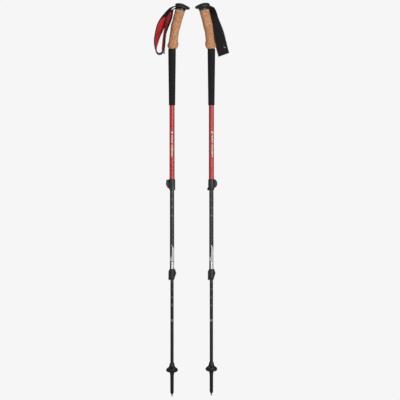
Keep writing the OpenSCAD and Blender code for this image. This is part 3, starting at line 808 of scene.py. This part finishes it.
def stitches(side, band, first, last, matrix):
    """A row of running stitches along each binding, on both faces of the band."""
    segments = []
    for i, f in marks_along(band, first, last, STITCH_PITCH):
        for sign in (1, -1):
            for t in (-WEBBING_T - BIND_OUT, BIND_IN):
                mid = between(band, i, f, BIND_W - 1.0, t, sign)
                step = band.along[i] * STITCH_HALF
                segments.append((mid - step, mid + step))
    obj = capsules(f"{side}_strap_stitches", segments, STITCH_R, matrix)
    return piece(obj, f"{side}_strap", THREAD)


def bar_tack(side, band, matrix):
    """A short satin-stitched bar near the wrist end."""
    target = Vector(TACK_NEAR[side])
    best = min(range(LINING_FIRST, band.open // 2),
               key=lambda i: (band.points[i] - target).length)
    sign = 1 if band.across[best].dot(target - band.points[best]) > 0 else -1
    segments = []
    for k in range(TACK_ROWS):
        s = (k - TACK_ROWS // 2) * TACK_PITCH
        base = band.at(best, sign * TACK_OFFSET, -WEBBING_T - 0.1)
        base = base + band.along[best] * s + band.across[best] * sign * s * TACK_SLANT
        half = band.across[best] * TACK_HALF
        segments.append((base - half, base + half))
    obj = capsules(f"{side}_strap_bar_tack", segments, TACK_R, matrix)
    return piece(obj, f"{side}_strap", GREY_THREAD)


def strap_tail(side, band, matrix):
    """The strap's loose adjusting end, hanging down the outside of the run by the grip."""
    top = band.open - TAIL_TOP
    low = next(i for i in range(top, 0, -1) if band.points[i].z < TAIL_LOW_Z)
    frames = []
    for i in range(top, low - 1, -1):
        f = (top - i) / (top - low)
        away = 0.35 + 2.2 * math.sin(math.pi * min(f * 1.6, 1)) + 0.5 * f
        middle = band.at(i, -3.5 * min(f * 4, 1), -WEBBING_T - away)
        frames.append((middle, band.across[i], band.inward[i]))
    middle, across, inward = frames[-1]
    down = (middle - frames[-3][0]).normalized()
    hang = Vector((0.04, 0, -1)).normalized()
    for _ in range(TAIL_STEPS):
        down = down.lerp(hang, 0.3).normalized()
        middle = middle + down * TAIL_STEP
        frames.append((middle, across, inward))
    rings, uvs, along = [], [], 0.0
    for n, (middle, across, inward) in enumerate(frames):
        along += (middle - frames[max(n - 1, 0)][0]).length
        half = TAIL_W / 2 - (1.2 if n == len(frames) - 1 else 0)
        pts = rounded(half, -TAIL_T, 0, 0.55, 10)
        rings.append([middle + across * a + inward * t for a, t in pts])
        uvs += [(a * MM, along * MM) for a, t in pts]
    tail = loft(f"{side}_strap_tail", rings, matrix, angle=50)
    add_uv(tail, uvs)
    piece(tail, f"{side}_strap", WEBBING)
    end, across, inward = frames[-3]
    sewn = [(end + across * (k - HEM_HALF) + inward * 0.05,
             end + across * (k + HEM_HALF) + inward * 0.05) for k in range(-8, 9)]
    sewn += [(a - inward * (TAIL_T + 0.1), b - inward * (TAIL_T + 0.1)) for a, b in sewn]
    hem = capsules(f"{side}_strap_tail_hem", sewn, TACK_R, matrix)
    piece(hem, f"{side}_strap", GREY_THREAD)


# ---- prints ----


# how far the two faces of an ink patch stand off its tube
INK_LEVELS = (0.006, 0.03)


class Prints:
    """Thin ink patches wrapped round one tube, gathered into one mesh."""

    def __init__(self, radius, facing):
        self.r = radius
        self.facing = math.radians(facing)
        self.verts, self.faces = [], []

    def point(self, u, z, out):
        a = self.facing + u / self.r
        return ((self.r + out) * math.cos(a), (self.r + out) * math.sin(a), z)

    def patch(self, corners, nu=6, nv=1):
        """corners: (u, z) at the lower left, lower right, upper right and upper left."""
        start = len(self.verts)
        cols = nu + 1
        for out in INK_LEVELS:
            for j in range(nv + 1):
                g = j / nv
                for i in range(cols):
                    f = i / nu
                    low = [corners[0][k] + (corners[1][k] - corners[0][k]) * f for k in (0, 1)]
                    top = [corners[3][k] + (corners[2][k] - corners[3][k]) * f for k in (0, 1)]
                    self.verts.append(self.point(low[0] + (top[0] - low[0]) * g,
                                                 low[1] + (top[1] - low[1]) * g, out))
        layer = cols * (nv + 1)

        def at(i, j, k):
            return start + k * layer + j * cols + i

        for j in range(nv):
            for i in range(nu):
                for k in (0, 1):
                    self.faces.append((at(i, j, k), at(i + 1, j, k), at(i + 1, j + 1, k),
                                       at(i, j + 1, k)))
        for i in range(nu):
            for j in (0, nv):
                self.faces.append((at(i, j, 0), at(i + 1, j, 0), at(i + 1, j, 1), at(i, j, 1)))
        for j in range(nv):
            for i in (0, nu):
                self.faces.append((at(i, j, 0), at(i, j + 1, 0), at(i, j + 1, 1), at(i, j, 1)))

    def rect(self, u, z, width, height, slant=0.0):
        w, h = width / 2, height / 2
        self.patch([(u - w, z - h - slant / 2), (u + w, z - h + slant / 2),
                    (u + w, z + h + slant / 2), (u - w, z + h - slant / 2)])

    def make(self, name, matrix, body, material, slot):
        obj = mesh_object(name, self.verts, self.faces, matrix, 30)
        return piece(obj, body, material)


SCALE_LABELS = ("115", "110", "105", "100")
# angles round a tube, in degrees
SCALE_FACING = 262
FRONT = 270
BACK = 90
# slanted bars: their step along the tube, the gap in it, their width and slant
BAR_STEP = 4.1
BAR_GAP = 1.3
BAR_W = 4.2
BAR_SLANT = 1.2

# Which of the seven strokes each digit uses: top, upper left, upper right, middle,
# lower left, lower right, bottom
DIGITS = {
    "0": (1, 1, 1, 0, 1, 1, 1), "1": (0, 0, 1, 0, 0, 1, 0), "5": (1, 1, 0, 1, 0, 1, 1),
}


def number(prints, text, u, z, height, pen=0.32):
    """Digits of straight strokes, centred on u and z."""
    width = height * 0.52
    gap = width + 0.55
    left = u - gap * (len(text) - 1) / 2
    for n, digit in enumerate(text):
        c = left + gap * n
        top, ul, ur, mid, ll, lr, bottom = DIGITS[digit]
        for on, dz in ((top, height / 2), (mid, 0), (bottom, -height / 2)):
            if on:
                prints.rect(c, z + dz, width + pen * 0.6, pen)
        for on, du, dz in ((ul, -1, 1), (ur, 1, 1), (ll, -1, -1), (lr, 1, -1)):
            if on:
                prints.rect(c + du * width / 2, z + dz * height / 4, pen, height / 2 - pen * 0.6)


def px(y):
    """Height in millimetres of a row of the reference view."""
    return (FLOOR_ROW - y) * MM_PER_PIXEL


def upper_prints(side):
    matrix = at_grip(side)
    for n, facing in enumerate((FRONT, BACK)):
        p = Prints(UPPER_R, facing)
        # two plain bands side by side, and two runs of slanted bars below them
        for u in (-1.9, 1.9):
            p.rect(u, px(132.5), 3.0, 6.6)
        for low, high in ((px(143.2), px(135)), (px(156.8), px(144))):
            for k in range(int((high - low) / BAR_STEP)):
                p.rect(0, low + BAR_STEP * (k + 0.5), BAR_W, BAR_STEP - BAR_GAP, BAR_SLANT)
        p.make(f"{side}_upper_print_{n + 1}", matrix, f"{side}_grip", CREAM_INK, "red_tube")


def marks(name, radius, matrix, body, slot, rows):
    """The plain length scale of one tube, at the given rows of the reference view."""
    p = Prints(radius, SCALE_FACING)
    for y, label in zip(rows, SCALE_LABELS):
        z = px(y)
        p.rect(0, z - 2.6, 8.4, 0.55)
        number(p, label, 0, z + 1.2, 3.6)
    p.make(name, matrix, body, MARK_INK, slot)


def middle_prints(side):
    matrix = at_pole(side)
    body = f"{side}_middle"
    marks(f"{side}_middle_marks", MIDDLE_R, matrix, body, "grey_tube",
          (191.5, 199.2, 207.4, 215.6))
    # a plain silver panel with a slanted top, a paler wedge and a white stripe under it
    white, silver = Prints(MIDDLE_R, FRONT), Prints(MIDDLE_R, FRONT)
    white.patch([(0.2, px(246.5)), (6.2, px(249.2)), (5.4, px(248.2)), (-2.6, px(244.2))], 8, 2)
    silver.patch([(-1.6, px(261.2)), (9.5, px(261.2)), (9.5, px(249.8)), (0.4, px(246.9))], 12, 4)
    silver.patch([(-6.5, px(261.2)), (-1.6, px(261.2)), (-1.6, px(257)), (-6.5, px(257))], 6, 1)
    white.patch([(-1.4, px(268.8)), (1.7, px(268.8)), (1.7, px(261.6)), (-1.4, px(261.6))], 4, 2)
    silver.patch([(2.1, px(268.8)), (9.5, px(268.8)), (9.5, px(261.6)), (2.1, px(261.6))], 8, 2)
    white.make(f"{side}_middle_print_white", matrix, body, WHITE_INK, "grey_tube")
    silver.make(f"{side}_middle_print_silver", matrix, body, SILVER_INK, "grey_tube")


def lower_prints(side):
    matrix = at_pole(side)
    body = f"{side}_lower"
    marks(f"{side}_lower_marks", LOWER_R, matrix, body, "black_tube",
          (281.5, 289.2, 297.4, 305.4))
    p = Prints(LOWER_R, FRONT)
    # two plain rings part of the way round
    for dz in (-1.8, 1.8):
        p.rect(0, px(320.2) + dz, 9.0, 1.6)
    p.make(f"{side}_lower_print", matrix, body, WHITE_INK, "black_tube")


for side in SIDES:
    cork_grip(side)
    head_cap(side)
    foam_sleeve(side)
    wrist_strap(side)
    upper_prints(side)
    middle_prints(side)
    lower_prints(side)


# ---- floor, light and camera ----

SKY = rgb(246, 246, 246)
STUDIO_GREY = (0.8, 0.8, 0.8, 1)
FLOOR_GREY = (0.6, 0.6, 0.6, 1)


def stage_material():
    """A pale seamless floor: nearly all its light is even, so that it meets the sky unseen."""
    m = Mat("floor")
    nodes, links = m.t.nodes, m.t.links
    out = nodes["Material Output"]
    nodes.remove(m.p)
    cam = m.add("LightPath").outputs["Is Camera Ray"]
    glow = m.add("Emission", {"Color": SKY, "Strength": 1.0}).outputs[0]
    matt = m.add("BsdfDiffuse", {"Color": FLOOR_GREY}).outputs[0]
    links.new(m.add("MixShader", {0: cam, 1: matt, 2: glow}).outputs[0], out.inputs[0])
    return m.m


FLOOR_SPANS = ((-6000, 6000), (-6000, 9000), (-12, -2))
floor = box_object("floor", FLOOR_SPANS)
paint(floor, stage_material())

world = bpy.data.worlds.new("studio")
bpy.context.scene.world = world
world.use_nodes = True
wn, wl = world.node_tree.nodes, world.node_tree.links
back = wn["Background"]
# bright in front of the poles and dark behind them, so that their edges stay dark
way = wn.new("ShaderNodeSeparateXYZ")
wl.new(wn.new("ShaderNodeTexCoord").outputs["Generated"], way.inputs[0])
shade = wn.new("ShaderNodeMapRange")
for key, value in (("From Min", -0.35), ("From Max", 0.35), ("To Min", 0.34), ("To Max", 0.09)):
    shade.inputs[key].default_value = value
wl.new(way.outputs[1], shade.inputs["Value"])
back.inputs["Color"].default_value = STUDIO_GREY
wl.new(shade.outputs[0], back.inputs["Strength"])
seen = wn.new("ShaderNodeBackground")
seen.inputs["Color"].default_value = SKY
path = wn.new("ShaderNodeLightPath")
mixer = wn.new("ShaderNodeMixShader")
wl.new(path.outputs["Is Camera Ray"], mixer.inputs[0])
wl.new(back.outputs[0], mixer.inputs[1])
wl.new(seen.outputs[0], mixer.inputs[2])
wl.new(mixer.outputs[0], wn["World Output"].inputs[0])


def area_light(name, azimuth, height, distance, size, power_w, aim=(0, 0, 0.6)):
    data = bpy.data.lights.new(name, "AREA")
    data.shape = "RECTANGLE"
    data.size, data.size_y = size
    data.energy = power_w
    obj = bpy.data.objects.new(name, data)
    a = math.radians(azimuth)
    obj.location = (distance * math.sin(a), -distance * math.cos(a), height)
    way = Vector(aim) - obj.location
    obj.rotation_euler = way.to_track_quat("-Z", "Y").to_euler()
    bpy.context.scene.collection.objects.link(obj)


area_light("key", 30, 1.1, 2.4, (0.7, 2.2), 52)
area_light("fill", -50, 0.9, 2.6, (1.0, 2.0), 12)
area_light("top", 10, 3.0, 1.2, (1.6, 1.2), 5, (0, 0, 0.9))
area_light("back", 180, 3.4, 2.3, (1.8, 1.2), 60, (0, 0, 0.5))
area_light("back_low", 178, 0.9, 3.6, (0.5, 1.6), 14)

CAMERA_DISTANCE = 4.5
CAMERA_X = 0.0253
CAMERA_Z = 0.5993
IMAGE_PIXELS = 400
SENSOR_MM = 36
VIEW_SIZE = IMAGE_PIXELS * MM_PER_PIXEL * MM
camera = bpy.data.objects.new("camera", bpy.data.cameras.new("camera"))
camera.data.sensor_width = SENSOR_MM
camera.data.lens = SENSOR_MM * CAMERA_DISTANCE / VIEW_SIZE
camera.data.clip_end = 100
camera.location = (CAMERA_X, -CAMERA_DISTANCE, CAMERA_Z)
camera.rotation_euler = (math.radians(90), 0, 0)
bpy.context.scene.collection.objects.link(camera)
bpy.context.scene.camera = camera
bpy.context.scene.view_settings.view_transform = "Standard"
